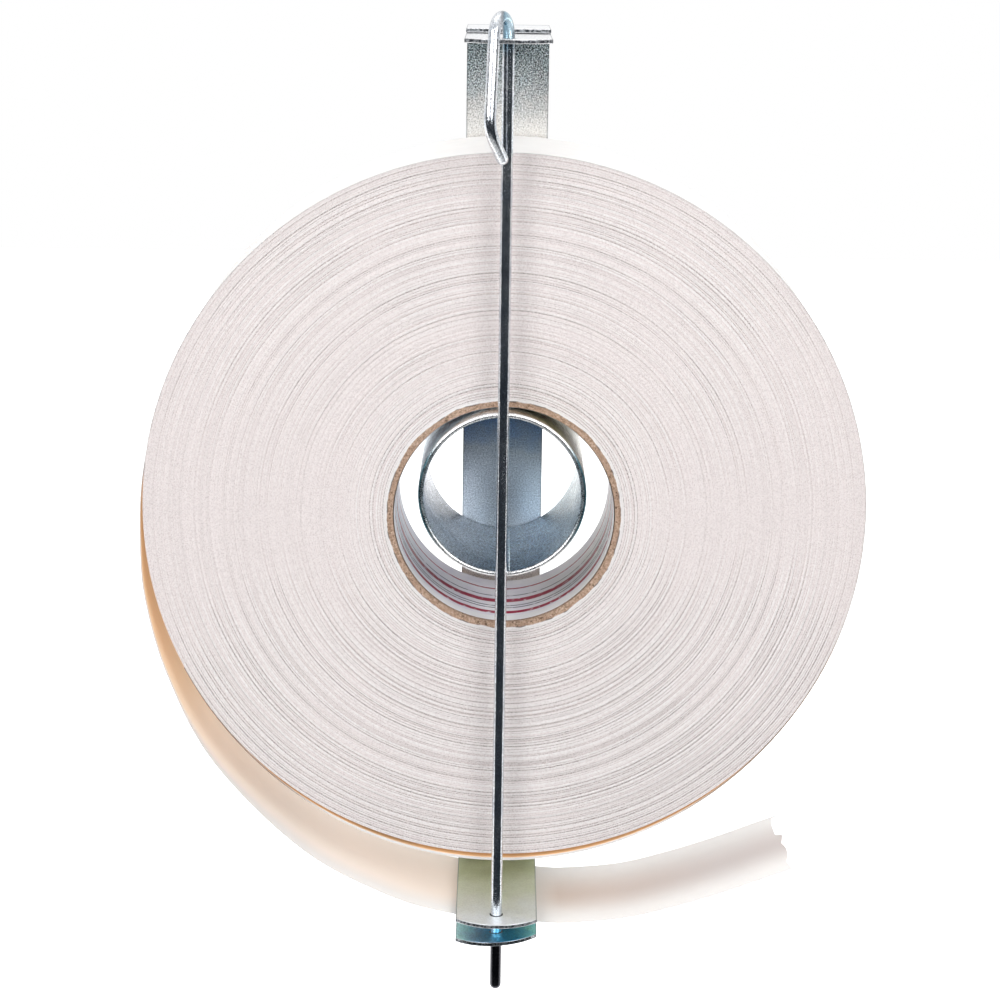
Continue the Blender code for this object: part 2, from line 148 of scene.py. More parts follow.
def mixed(share, first, second, blend="MIX"):
    tree = tree_of(share, first, second)
    node = add_node(tree, "ShaderNodeMix", data_type="RGBA", blend_type=blend)
    for socket, value in ((node.inputs[0], share), (node.inputs[6], first), (node.inputs[7], second)):
        if isinstance(value, bpy.types.NodeSocket):
            tree.links.new(value, socket)
        elif isinstance(value, (int, float)):
            socket.default_value = value
        else:
            socket.default_value = (*value, 1.0)
    return node.outputs[2]


def ramp(value, stops):
    node = add_node(tree_of(value), "ShaderNodeValToRGB", {"Fac": value})
    band = node.color_ramp
    while len(band.elements) < len(stops):
        band.elements.new(0.5)
    for element, (place, colour) in zip(band.elements, stops):
        element.position = place
        element.color = (*colour, 1.0)
    return node.outputs["Color"]


def axes_of(place, names="XYZ"):
    split = add_node(tree_of(place), "ShaderNodeSeparateXYZ", {0: place}).outputs
    return [split[name] for name in names]


def axis_of(place, name):
    return axes_of(place, name)[0]


def moved(place, how, amount):
    return add_node(tree_of(place), "ShaderNodeMapping", {"Vector": place, how: amount}).outputs[0]


def joined(x, y, z):
    return add_node(tree_of(x, y, z), "ShaderNodeCombineXYZ", {0: x, 1: y, 2: z}).outputs[0]


def reach_of(x, z):
    """The distance from an axis along Y."""
    return maths("SQRT", plus(times(x, x), times(z, z)))


def attribute_of(place, name):
    return add_node(tree_of(place), "ShaderNodeAttribute", attribute_name=name).outputs["Fac"]


def cloudy(place, scale, dull, bright):
    """A colour that drifts between two others in soft clouds."""
    return mixed(ranged(noise_of(place, scale, 3.0), 0.36, 0.64), dull, bright)


def wander(place, scale, most):
    """A soft random offset, up to most either way."""
    return ranged(noise_of(place, scale), 0.3, 0.7, -most, most)


def start_finish(name, roughness, metallic):
    """A material, its shader and its Object coordinates."""
    material = bpy.data.materials.new(name)
    material.use_nodes = True
    tree = material.node_tree
    shader = tree.nodes["Principled BSDF"]
    shader.inputs["Roughness"].default_value = roughness
    shader.inputs["Metallic"].default_value = metallic
    place = add_node(tree, "ShaderNodeTexCoord").outputs["Object"]
    return material, shader, place


def set_bump(shader, height, distance, strength=1.0):
    links = {"Height": height, "Distance": distance, "Strength": strength}
    feed(shader, "Normal", add_node(tree_of(height), "ShaderNodeBump", links).outputs["Normal"])


# Zinc plate
SPANGLE_SCALE = 1800.0
GRAIN_SCALE = 3200.0
MARK_SCALE = 360.0
ALL_WAYS = (1.0, 1.0, 1.0)
LENGTHWISE = (1.0, 1.0, 0.12)


def zinc_finish(name, tint_of, roughness, relief, speckle, streak=ALL_WAYS, rougher_of=None):
    """Zinc plate: a fine spangle over the tint that tint_of gives, with marks drawn out by streak.

    speckle is the spangle's strength, a number or a function of the place.
    rougher_of gives what a place adds to the roughness.
    """
    material, shader, place = start_finish(name, roughness, 1.0)
    stretched = moved(place, "Scale", streak)
    spangle = noise_of(place, SPANGLE_SCALE)
    grain = noise_of(place, GRAIN_SCALE, 1.0)
    marks = noise_of(stretched, MARK_SCALE, 3.0)
    strength = speckle(place) if callable(speckle) else speckle
    fleck = plus(ranged(spangle, 0.34, 0.66, -0.5, 0.25), ranged(grain, 0.3, 0.7, -0.5, 0.25))
    value = plus(1.0, times(fleck, strength))
    grey = add_node(tree_of(value), "ShaderNodeCombineColor", {0: value, 1: value, 2: value}).outputs[0]
    feed(shader, "Base Color", mixed(1.0, tint_of(place), grey, "MULTIPLY"))
    rough = plus(ranged(grain, 0.3, 0.7, roughness - 0.05, roughness + 0.07),
                 ranged(marks, 0.35, 0.65, -0.03, 0.05))
    if rougher_of:
        rough = plus(rough, rougher_of(place))
    feed(shader, "Roughness", rough)
    height = plus(plus(spangle, times(grain, 0.35)), times(marks, 0.8))
    set_bump(shader, height, relief)
    return material


# Strap edges: painted dark reflection on the cut edges and along each long edge
EDGE_SHADE_LINE = (HALF_STRAP - 0.0005, HALF_STRAP - 0.0003)
EDGE_SHADE_GREY = (0.22, 0.235, 0.25)
CUT_DARK_REFLECTION = (0.07, 0.075, 0.085)
CUT_PALE_REFLECTION = (0.40, 0.42, 0.44)


def strap_edge_shading(place, tint):
    """Cut edges are painted a flecked dark grey, and a fine dark line is painted along each long edge, both
    painted reflection of the dim room.
    """
    flecks = ranged(noise_of(place, 1300.0, 1.0), 0.42, 0.60)
    # Painted reflection: cut edges are painted dark for the dim room they reflect
    cut = mixed(flecks, CUT_DARK_REFLECTION, CUT_PALE_REFLECTION)
    tint = mixed(attribute_of(place, "cut_edge"), tint, cut)
    side = maths("ABSOLUTE", axis_of(place, "X"))
    # Painted reflection: a dark line along each long edge
    return mixed(ranged(side, *EDGE_SHADE_LINE, 0.0, 0.55), tint, EDGE_SHADE_GREY)


# Heights over which the inner strap's finish changes
UNDER_DRUM_LIT_STRIP = (-0.033, -0.030)
DRUM_SPECKLE_STARTS = (-0.06, -0.04)
DRUM_BLUE_STARTS = (0.002, 0.016)
OVER_DRUM = (0.034, 0.05)
DRUM_SPECKLE_ENDS = (0.04, 0.06)
OVER_CORE = (0.07, 0.11)
TOP_SPECKLE_GROWS = (0.112, 0.146)
ROLL_REFLECTION_ENDS = (0.118, 0.136)
BLUISH_STARTS = (0.128, 0.150)
INNER_LOWER_ARM = (inner_low.z + 0.004, inner_low.z + 0.009)
# The depths over which its arms leave its back
ARMS_START = (-0.016, -0.011)


def inner_strap_speckle(place):
    """Strongest at the top of the strap, faint in the drum and on the lower arm."""
    y, z = axes_of(place, "YZ")
    drum = times(ranged(z, *DRUM_SPECKLE_STARTS), ranged(z, *DRUM_SPECKLE_ENDS, 0.42, 0.0))
    upper = times(ranged(z, *TOP_SPECKLE_GROWS, 0.0, 1.95), ranged(y, *ARMS_START, 0.2, 1.0))
    return plus(0.14, plus(drum, upper))


def inner_strap_rougher(place):
    return ranged(axis_of(place, "Z"), *INNER_LOWER_ARM, 0.14, 0.0)


def inner_strap_tint(place):
    """Grey low in the drum and slate blue higher up, partly the blue passivate and partly a painted
    reflection that is paler below; grey-blue over the drum, a painted cream reflection of the roll's lit top
    just above the roll, and bluish at the top.

    The strip under the drum is painted white, as painted light where the drum shades it, and the lower arm
    has an olive to pale passivate.
    """
    y, z = axes_of(place, "YZ")
    height = plus(z, wander(place, 120.0, 0.004))
    blue = cloudy(place, 60.0, (0.32, 0.51, 0.82), (0.46, 0.66, 0.97))
    grey = cloudy(place, 60.0, (0.78, 0.82, 0.87), (0.90, 0.93, 0.97))
    # Painted light: the strip under the drum is painted white in place of light that the drum keeps off it
    grey = mixed(ranged(z, *UNDER_DRUM_LIT_STRIP, 1.0, 0.0), grey, WHITE)
    # Partly painted reflection: paler grey low in the drum, slate blue higher up
    tint = mixed(ranged(height, *DRUM_BLUE_STARTS), grey, blue)
    tint = mixed(ranged(z, *OVER_DRUM), tint, (0.60, 0.67, 0.74))
    pale = cloudy(place, 260.0, (0.80, 0.87, 0.90), WHITE)
    pale = mixed(ranged(height, *BLUISH_STARTS), pale, (0.78, 0.96, 1.0))
    # Painted reflection: cream just above the roll, for the roll's lit top seen in the strap
    above = mixed(ranged(height, *ROLL_REFLECTION_ENDS), (1.0, 0.98, 0.94), pale)
    above = mixed(ranged(y, *ARMS_START, 1.0, 0.0), above, (0.97, 0.98, 1.0))
    tint = mixed(ranged(z, *OVER_CORE), tint, above)
    drift = plus(y, wander(place, 70.0, 0.006))
    olive = ramp(ranged(drift, inner_low.y, inner_high.y), (
        (0.05, (0.90, 0.94, 0.97)), (0.26, (0.84, 0.87, 0.82)), (0.50, (0.74, 0.79, 0.63)),
        (0.72, (0.58, 0.63, 0.42)), (0.86, (0.44, 0.48, 0.31))))
    tint = mixed(ranged(z, *INNER_LOWER_ARM, 1.0, 0.0), tint, olive)
    return strap_edge_shading(place, tint)


# Heights, then depths, over which the belt strap's finish changes
BELT_TOP_ARM = (0.14, 0.155)
BELT_LOWER_ARM = (belt_low.z + 0.004, belt_low.z + 0.008)
BELT_BACK = (-0.010, -0.006)
BELT_TEAL_ENDS = (-0.012, -0.008)


def belt_strap_tint(place):
    """Pale zinc, with painted shade behind and under the lower plate that dims the bright floor and backdrop
    they reflect.

    That plate's upper side has a teal passivate that shifts along its width.
    """
    x, y, z = axes_of(place)
    pale = cloudy(place, 70.0, (0.70, 0.76, 0.80), (0.86, 0.90, 0.92))
    # Painted shade: a darker copy of the zinc for the back and the lower arm, dimming the bright surroundings
    # they reflect
    back = cloudy(place, 70.0, (0.46, 0.50, 0.53), (0.58, 0.61, 0.63))
    pale = mixed(ranged(z, *BELT_TOP_ARM), pale, (0.97, 0.98, 1.0))
    pale = mixed(ranged(y, *BELT_BACK), pale, back)
    lower_arm = ranged(z, *BELT_LOWER_ARM, 1.0, 0.0)
    pale = mixed(lower_arm, pale, back)
    drift = plus(x, wander(place, 90.0, 0.003))
    teal = ramp(ranged(drift, belt_low.x, belt_high.x), (
        (0.04, (0.60, 0.95, 0.96)), (0.24, (0.56, 0.76, 0.96)), (0.50, (0.13, 0.66, 1.0)),
        (0.74, (0.11, 0.60, 0.92)), (0.94, (0.36, 0.92, 0.92))))
    upper_side = times(lower_arm, attribute_of(place, "facing_up"))
    teal_share = times(upper_side, ranged(y, *BELT_TEAL_ENDS, 1.0, 0.0))
    return strap_edge_shading(place, mixed(teal_share, pale, teal))


DRUM_LIP_HIGHLIGHT = (drum_low.y + 0.0005, drum_low.y + 0.0009)


def into_wall(share):
    """The radius that lies this share of the drum's wall in from its outside."""
    return DRUM_OUTER - DRUM_WALL * share


def drum_tint(place):
    """Grey-blue inside; outside, pale blue on the left turning straw yellow and olive on the right; these
    colours are partly passivate and partly painted reflection.

    The lip is painted white as a highlight. At its sides its inner half is pale blue and its outer half a
    painted dark teal edge line.
    """
    x, y, z = axes_of(place)
    reach = reach_of(x, z)
    across = ranged(x, drum_low.x, drum_high.x)
    # Partly passivate, partly painted reflection: the colours across the drum, inside and out
    inside = ramp(across, (
        (0.0, (0.90, 0.91, 1.0)), (0.45, (0.59, 0.74, 0.89)), (0.75, (0.59, 0.79, 1.0)),
        (0.95, (0.84, 0.98, 1.0))))
    outside = ramp(across, (
        (0.05, (0.80, 0.93, 1.0)), (0.45, (0.92, 0.94, 0.94)), (0.62, (0.50, 0.49, 0.42)),
        (0.82, (0.54, 0.51, 0.28)), (0.94, (0.86, 0.85, 0.76))))
    tint = mixed(ranged(reach, into_wall(0.3), into_wall(0.1)), inside, outside)
    clouds = cloudy(place, 110.0, (0.84, 0.86, 0.88), WHITE)
    tint = mixed(1.0, tint, clouds, "MULTIPLY")
    outer_half = ranged(reach, into_wall(0.55), into_wall(0.35))
    # Painted dark edge line on the outer half of the lip at its sides
    rim = mixed(outer_half, (0.80, 0.90, 0.94), (0.14, 0.28, 0.34))
    side = maths("DIVIDE", maths("ABSOLUTE", x), DRUM_OUTER)
    lip = mixed(ranged(side, 0.72, 0.90), WHITE, rim)
    # Painted highlight: the lip is painted white
    return mixed(ranged(y, *DRUM_LIP_HIGHLIGHT, 1.0, 0.0), tint, lip)


def drum_speckle(place):
    x, z = axes_of(place, "XZ")
    return ranged(reach_of(x, z), into_wall(0.9), into_wall(0.6), 1.3, 0.25)


def seam_tint(place):
    return cloudy(place, 900.0, (0.62, 0.84, 0.92), WHITE)


# Where the rod's bend starts, in height and across, and where the painted dark reflection at its tip ends
BEND_STARTS = (rod_high.z - 0.016, rod_high.z - 0.012)
BEND_SIDE = (-0.0030, -0.0016)
BEND_BLUE_EDGE = -0.0024
DARK_REFLECTION_TIP = (belt_low.z - 0.0014, belt_low.z - 0.0004)


def wire_tint(place):
    """Grey zinc, blue on the rod's own side of the bend with painted dark shade at its edges, and a painted
    black reflection on the tip under the plates.
    """
    x, z = axes_of(place, "XZ")
    plate = cloudy(place, 120.0, (0.66, 0.70, 0.76), (0.88, 0.90, 0.92))
    bend = times(ranged(z, *BEND_STARTS), ranged(x, *BEND_SIDE))
    # Painted shade: dark at both edges of the blue bend
    blue = ramp(ranged(x, BEND_BLUE_EDGE, ROD_RADIUS), (
        (0.05, (0.10, 0.13, 0.16)), (0.30, (0.30, 0.48, 0.60)),
        (0.75, (0.62, 0.78, 0.86)), (0.95, (0.16, 0.20, 0.24))))
    plate = mixed(bend, plate, blue)
    # Painted reflection: the tip under the plates is painted black for the dark surroundings it reflects
    return mixed(ranged(z, *DARK_REFLECTION_TIP, 1.0, 0.0), plate, (0.06, 0.06, 0.07))


def bead_tint(place):
    return cloudy(place, 300.0, (0.34, 0.35, 0.36), (0.62, 0.58, 0.50))


# Paper and board
BOARD_FIBRE_SCALE = 1500.0
BOARD_RELIEF = 0.0004


def board_fibre(place):
    return noise_of(place, BOARD_FIBRE_SCALE, 4.0, roughness=0.75)


def board_colour(place):
    """Brown board: mottled fibres with dark flecks and paler scuffs."""
    mottle = noise_of(place, 260.0, 3.0)
    flecks = noise_of(place, 1100.0, 1.0)
    board = ramp(board_fibre(place), (
        (0.34, (0.18, 0.105, 0.065)), (0.47, (0.48, 0.32, 0.225)), (0.56, (0.61, 0.43, 0.32)),
        (0.70, (0.90, 0.74, 0.62))))
    board = mixed(ranged(mottle, 0.40, 0.66, 0.0, 0.6), board, (0.50, 0.33, 0.24))
    return mixed(ranged(flecks, 0.64, 0.72, 0.0, 0.85), board, (0.11, 0.06, 0.035))


def board_finish():
    material, shader, place = start_finish("core_board_fibre", 0.93, 0.0)
    feed(shader, "Base Color", board_colour(place))
    set_bump(shader, board_fibre(place), BOARD_RELIEF)
    return material


# How far the wound tape's face covers the core's end, and how far the board is torn into it
CORE_COVERED = 0.0006
CORE_TORN = 0.0009
LAYER_SCALE = 1550.0
RIDGE_SCALE = 900.0
LAYER_DRIFT = 0.0016
FACE_RELIEF = 0.00045


def layer_show(centred, x, z, reach):
    """How clearly the layers show, as painted shading of light from above on the ridges: most above, below
    and at the lower right, and also beside the core.
    """
    patches = ranged(noise_of(centred, 24.0), 0.36, 0.64, 0.35, 1.0)
    steep = maths("DIVIDE", maths("ABSOLUTE", z), plus(reach, MERGE))
    lower_right = times(ranged(z, -0.04, 0.01, 1.0, 0.0), ranged(x, 0.0, 0.08, 0.0, 0.90))
    lower = plus(ranged(z, -0.09, -0.01, 0.72, 0.0), lower_right)
    show = times(times(plus(0.42, lower), steep), patches)
    near_core = ranged(reach, WINDING_INNER, WINDING_INNER + 0.016, 0.30, 0.0)
    return plus(show, near_core, clamp=True)


def torn_core(paper, place, x, z, reach):
    """The core's board showing inside a ragged line, with a pale rim, and dark lines along it painted as
    shade in its notches.
    """
    way = joined(maths("DIVIDE", x, reach), 0.0, maths("DIVIDE", z, reach))
    torn = ranged(noise_of(way, 4.0, 5.0, roughness=0.62), 0.30, 0.70, 0.0, CORE_TORN)
    past = minus(reach, plus(torn, CORE_OUTER - CORE_COVERED))
    rim = times(ranged(past, 0.0003, 0.0016, 0.7, 0.0), ranged(past, 0.0, 0.0003))
    paper = mixed(rim, paper, (0.97, 0.95, 0.94))
    # Painted shade: dark lines in the notches along the torn edge
    crack_shade = ranged(maths("ABSOLUTE", past), 0.0001, 0.0003, 1.0, 0.0)
    crack_shade = times(crack_shade, ranged(noise_of(way, 9.0), 0.50, 0.60, 0.0, 0.8))
    paper = mixed(ranged(past, -0.0001, 0.0001, 1.0, 0.0), paper, board_colour(place))
    return mixed(crack_shade, paper, (0.13, 0.10, 0.09))


def roll_face_finish():
    """The wound tape's edges: pinkish white paper with fine layer lines carrying painted shading, out from
    the core's torn board.
    """
    material, shader, place = start_finish("wound_edge_paper", 0.9, 0.0)
    centred = moved(place, "Location", -ROLL_CENTRE)
    x, z = axes_of(centred, "XZ")
    reach = reach_of(x, z)
    wound = plus(reach, times(noise_of(centred, 14.0), LAYER_DRIFT))
    layers = noise_of(wound, LAYER_SCALE, 3.0, "1D", 0.62)
    ridges = noise_of(wound, RIDGE_SCALE, 1.0, "1D")
    loose = ranged(distance_from(ridges, 0.5), 0.0, 0.030, 1.0, 0.0)
    show = layer_show(centred, x, z, reach)
    # Painted shading: where show is high the layer lines get more contrast and a lifted tone, in place of
    # light from above on the ridges
    gain = plus(0.30, times(show, 12.0))
    tone = plus(maths("MULTIPLY_ADD", show, 0.56, 0.5), times(minus(layers, 0.5), gain))
    # Painted shade: the loose lines are darkened as shade in the gaps between layers
    tone = minus(tone, times(times(loose, show), 1.15), clamp=True)
    paper = ramp(tone, (
        (0.02, (0.20, 0.14, 0.13)), (0.24, (0.64, 0.53, 0.51)), (0.44, (0.85, 0.755, 0.74)),
        (0.70, (0.97, 0.90, 0.88)), (1.0, (1.0, 0.98, 0.965))))
    fibre = noise_of(centred, 1500.0, 3.0)
    fuzz = noise_of(centred, 2900.0, 1.0)
    paper = mixed(ranged(fibre, 0.38, 0.66, 0.0, 0.60), paper, (0.60, 0.52, 0.51))
    paper = mixed(ranged(fuzz, 0.40, 0.62, 0.0, 0.80), paper, (0.995, 0.93, 0.92))
    paper = torn_core(paper, place, x, z, reach)
    feed(shader, "Base Color", paper)
    relief = plus(0.45, times(show, 0.12))
    height = times(minus(layers, times(loose, 0.25)), relief)
    set_bump(shader, plus(height, times(fibre, 0.16)), FACE_RELIEF)
    return material


GLOW_EMISSION = 0.22
FLAT_RELIEF = 0.00008
FLAT_RELIEF_STRENGTH = 0.4


def tape_finish():
    """The flat side of joint tape: thin white paper with a painted warm tint and a warm emission glow where
    light would come through it, a painted shadow band and a painted brown shade line.
    """
    material, shader, place = start_finish("joint_tape_flat", 0.82, 0.0)
    fibre = noise_of(place, 1900.0, 3.0)
    clouds = noise_of(place, 170.0, 3.0)
    paper = mixed(ranged(clouds, 0.3, 0.7), (0.89, 0.862, 0.842), (0.92, 0.892, 0.868))
    # Painted light: a warm tint and a warm emission glow stand for light coming through the paper
    glow = attribute_of(place, "painted_light_through")
    warm = ramp(glow, (
        (0.0, (0.93, 0.90, 0.88)), (0.35, (0.95, 0.80, 0.69)), (0.70, (0.90, 0.66, 0.44)),
        (0.85, (0.84, 0.57, 0.32)), (1.0, (0.70, 0.44, 0.22))))
    paper = mixed(ranged(glow, 0.0, 0.06), paper, warm)
    x = axis_of(place, "X")
    shadow = mixed(ranged(x, 0.02, 0.08), (0.65, 0.53, 0.465), (0.60, 0.545, 0.53))
    shade = times(attribute_of(place, "soft_band"), ranged(x, 0.014, 0.023, 0.35, 1.0))
    paper = mixed(shade, paper, shadow)
    # Painted shade: a brown line at the front edge of the sag
    paper = mixed(attribute_of(place, "shaded_brown_edge"), paper, (0.30, 0.18, 0.10))
    paper = mixed(ranged(fibre, 0.3, 0.7, 0.0, 0.08), paper, (0.74, 0.71, 0.68))
    feed(shader, "Base Color", paper)
    feed(shader, "Emission Color", warm)
    feed(shader, "Emission Strength", ranged(glow, 0.05, 0.40, 0.0, GLOW_EMISSION))
    shader.inputs["Subsurface Weight"].default_value = 0.25
    shader.inputs["Subsurface Radius"].default_value = (1.0, 0.85, 0.75)
    shader.inputs["Subsurface Scale"].default_value = 0.0008
    set_bump(shader, plus(fibre, clouds), FLAT_RELIEF, FLAT_RELIEF_STRENGTH)
    return material


# Plain bands round the lining: place along Y as a share from the front, width in metres, colour
RED = (0.36, 0.006, 0.045)
SLATE = (0.11, 0.10, 0.13)
LINING_BANDS = (
    (0.19, 0.0030, RED), (0.30, 0.0009, SLATE), (0.35, 0.0009, SLATE),
    (0.48, 0.0040, RED), (0.60, 0.0008, SLATE), (0.78, 0.0014, RED),
)
BAND_BLUR = 0.00008
LINING_MARGIN = (label_low.y + 0.0052, label_low.y + 0.0056)
LINING_RELIEF = 0.00005


def lining_finish():
    """Pale lavender print paper with plain red and slate bands that run round the core."""
    material, shader, place = start_finish("core_lining_print", 0.42, 0.0)
    y = axis_of(place, "Y")
    paper = cloudy(place, 90.0, (0.82, 0.80, 0.88), (0.93, 0.92, 0.95))
    length = label_high.y - label_low.y
    worn = ranged(noise_of(place, 500.0, 3.0), 0.30, 0.42)
    for share, width, colour in LINING_BANDS:
        off = distance_from(y, label_low.y + length * share)
        band = ranged(off, width / 2 - BAND_BLUR, width / 2 + BAND_BLUR, 1.0, 0.0)
        paper = mixed(times(band, worn), paper, colour)
    paper = mixed(ranged(y, *LINING_MARGIN, 1.0, 0.0), paper, (0.92, 0.91, 0.92))
    feed(shader, "Base Color", paper)
    shader.inputs["Specular IOR Level"].default_value = 0.4
    set_bump(shader, noise_of(place, 700.0), LINING_RELIEF, FLAT_RELIEF_STRENGTH)
    return material


SHARP_DEG = 40.0


def close_shell(mesh, sharp_deg):
    """Merges doubles, turns the faces outwards and smooths the shading between sharp edges."""
    shell = bmesh.new()
    shell.from_mesh(mesh)
    bmesh.ops.remove_doubles(shell, verts=shell.verts, dist=MERGE)
    bmesh.ops.recalc_face_normals(shell, faces=shell.faces)
    shell.to_mesh(mesh)
    shell.free()
    mesh.shade_smooth()
    mesh.set_sharp_from_angle(angle=math.radians(sharp_deg))


def mesh_piece(name, verts, faces, material, sharp_deg=SHARP_DEG, attributes=None):
    """A closed piece; attributes holds a value for each of its points, by name."""
    mesh = bpy.data.meshes.new(name)
    mesh.from_pydata(verts, [], faces)
    for key, values in (attributes or {}).items():
        mesh.attributes.new(key, "FLOAT", "POINT").data.foreach_set("value", values)
    close_shell(mesh, sharp_deg)
    mesh.materials.append(material)
    piece = bpy.data.objects.new(name, mesh)
    bpy.context.collection.objects.link(piece)
    return piece


def grid_faces(rows, columns, wrap_rows=False, wrap_columns=False):
    faces = []
    for row in range(rows if wrap_rows else rows - 1):
        below = (row + 1) % rows
        for column in range(columns if wrap_columns else columns - 1):
            beside = (column + 1) % columns
            faces.append((row * columns + column, row * columns + beside,
                          below * columns + beside, below * columns + column))
    return faces


def turned(name, centre, profile, steps, material, shift=None):
    """A closed (radius, y) profile turned about an axis along Y; shift moves each point a little."""
    verts = []
    for step in range(steps):
        angle = 2 * math.pi * step / steps
        for radius, y in profile:
            if shift:
                radius, y = shift(radius, y, angle)
            verts.append((centre.x + radius * math.cos(angle), y, centre.z + radius * math.sin(angle)))
    return mesh_piece(name, verts, grid_faces(steps, len(profile), True, True), material)


def arc(centre_radius, centre_y, size, start_deg, end_deg, steps):
    points = []
    for step in range(steps + 1):
        angle = math.radians(start_deg + (end_deg - start_deg) * step / steps)
        points.append((centre_radius + size * math.cos(angle), centre_y + size * math.sin(angle)))
    return points


def start_tree(name, numbers, counts):
    """A geometry tree with its named inputs, their sockets and what they give."""
    tree = bpy.data.node_groups.new(name, "GeometryNodeTree")
    tree.is_modifier = True
    sockets = {}
    for kind, labels in (("NodeSocketFloat", numbers), ("NodeSocketInt", counts)):
        for label in labels:
            sockets[label] = tree.interface.new_socket(name=label, in_out="INPUT", socket_type=kind)
    tree.interface.new_socket(name="Geometry", in_out="OUTPUT", socket_type="NodeSocketGeometry")
    return tree, sockets, add_node(tree, "NodeGroupInput").outputs


def end_tree(tree, shape, material):
    real = add_node(tree, "GeometryNodeRealizeInstances", {0: shape})
    painted = add_node(tree, "GeometryNodeSetMaterial", {"Geometry": real.outputs[0], "Material": material})
    add_node(tree, "NodeGroupOutput", {"Geometry": painted.outputs[0]})


def made_by_nodes(name, tree, sockets, values):
    """Runs a geometry tree on an empty mesh and keeps the result as a plain, closed mesh."""
    piece = bpy.data.objects.new(name, bpy.data.meshes.new(name))
    bpy.context.collection.objects.link(piece)
    modifier = piece.modifiers.new(tree.name, "NODES")
    modifier.node_group = tree
    for label, value in values.items():
        modifier[sockets[label].identifier] = value
    evaluated = piece.evaluated_get(bpy.context.evaluated_depsgraph_get())
    mesh = bpy.data.meshes.new_from_object(evaluated)
    piece.modifiers.remove(modifier)
    piece.data = mesh
    close_shell(mesh, SHARP_DEG)
    return piece


# Wound tape
LAYER_RELIEF = 0.00007
LAYER_SEED = 7.3
WINDING_EASE = 0.00010
FACE_RINGS = 150
WALL_RINGS = 4
TAPE_SEGMENTS = 256


def layer_ripple(given, ring, across, upright):
    """How far each ring's layers stand back from the face, more in some patches than in others."""
    layered = plus(ring, given["Seed"])
    patch = ranged(noise_of(joined(across, 0.0, upright), 22.0, 1.0), 0.36, 0.62, 0.15, 1.0)
    each = noise_of(times(layered, 0.83), 1.0, 2.0, "1D", 0.75)
    loose = noise_of(times(layered, 0.11), 1.0, 1.0, "1D")
    ripple = plus(times(minus(each, 0.5), patch), minus(loose, 0.5))
    return times(ripple, given["Relief"])


def wound_tape_tree(material):
    """A grid rolled round the roll's axis, with its side faces rippled layer by layer."""
    tree, sockets, given = start_tree(
        "wound_tape_layers",
        ("Inner Radius", "Outer Radius", "Front", "Rear", "Centre X", "Centre Z", "Relief", "Seed"),
        ("Face Rings", "Wall Rings", "Segments"))
    wall = given["Wall Rings"]
    half = plus(given["Face Rings"], wall)
    around = times(half, 2.0)
    grid = add_node(tree, "GeometryNodeMeshGrid", {
        "Size X": around, "Size Y": given["Segments"],
        "Vertices X": plus(around, 1.0), "Vertices Y": plus(given["Segments"], 1.0)})
    spot_x, spot_y = axes_of(add_node(tree, "GeometryNodeInputPosition").outputs[0], "XY")
    ring = plus(spot_x, half)
    angle = times(maths("DIVIDE", spot_y, given["Segments"]), 2 * math.pi)
    inwards = ranged(ring, wall, half)
    outwards = ranged(ring, plus(half, wall), around)
    depth = minus(given["Outer Radius"], given["Inner Radius"])
    radius = minus(given["Outer Radius"], times(depth, minus(inwards, outwards)))
    forwards = ranged(ring, 0.0, wall)
    back = ranged(ring, half, plus(half, wall))
    width = minus(given["Rear"], given["Front"])
    y = minus(given["Rear"], times(width, minus(forwards, back)))
    across = times(radius, maths("COSINE", angle))
    upright = times(radius, maths("SINE", angle))
    ripple = layer_ripple(given, ring, across, upright)
    on_face = times(maths("GREATER_THAN", radius, given["Inner Radius"]), 2.0)
    inset = maths("ABSOLUTE", times(ripple, on_face))
    inwards_y = minus(1.0, times(2.0, maths("GREATER_THAN", ring, half)))
    rolled = joined(plus(across, given["Centre X"]), plus(y, times(inset, inwards_y)),
                    plus(upright, given["Centre Z"]))
    placed = add_node(tree, "GeometryNodeSetPosition", {"Geometry": grid.outputs["Mesh"], "Position": rolled})
    merged = add_node(tree, "GeometryNodeMergeByDistance", {"Geometry": placed.outputs[0], "Distance": MERGE})
    smooth = add_node(tree, "GeometryNodeSetShadeSmooth", {0: merged.outputs[0]})
    end_tree(tree, smooth.outputs[0], material)
    return tree, sockets


def make_wound_tape():
    tree, sockets = wound_tape_tree(roll_face_finish())
    piece = made_by_nodes("wound_tape", tree, sockets, {
        "Inner Radius": CORE_OUTER - CORE_COVERED, "Outer Radius": TURN_INNER - WINDING_EASE,
        "Front": ROLL_FRONT, "Rear": ROLL_REAR,
        "Centre X": ROLL_CENTRE.x, "Centre Z": ROLL_CENTRE.z,
        "Relief": LAYER_RELIEF, "Seed": LAYER_SEED,
        "Face Rings": FACE_RINGS, "Wall Rings": WALL_RINGS, "Segments": TAPE_SEGMENTS})
    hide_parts("tape_roll")
    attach(piece, "roll")


# Cardboard core
CORE_FRAY = 0.00022
CORE_PLIES = 6
CORE_STEPS = 420


def make_core():
    wall = CORE_OUTER - CORE_INNER
    front = [(CORE_INNER + wall * ply / CORE_PLIES, ROLL_FRONT) for ply in range(CORE_PLIES + 1)]
    rear = [(radius, ROLL_REAR) for radius, _ in reversed(front)]

    def worn(radius, y, angle):
        spot = Vector((math.cos(angle), math.sin(angle), radius / CORE_OUTER * 9))
        inwards = 1 if y < ROLL_CENTRE.y else -1
        return radius, y + inwards * CORE_FRAY * (0.7 + 0.6 * noise.noise(spot * 31.0))

    piece = turned("cardboard_core", ROLL_CENTRE, front + rear, CORE_STEPS, board_finish(), worn)
    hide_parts("paper_core")
    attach(piece, "roll")


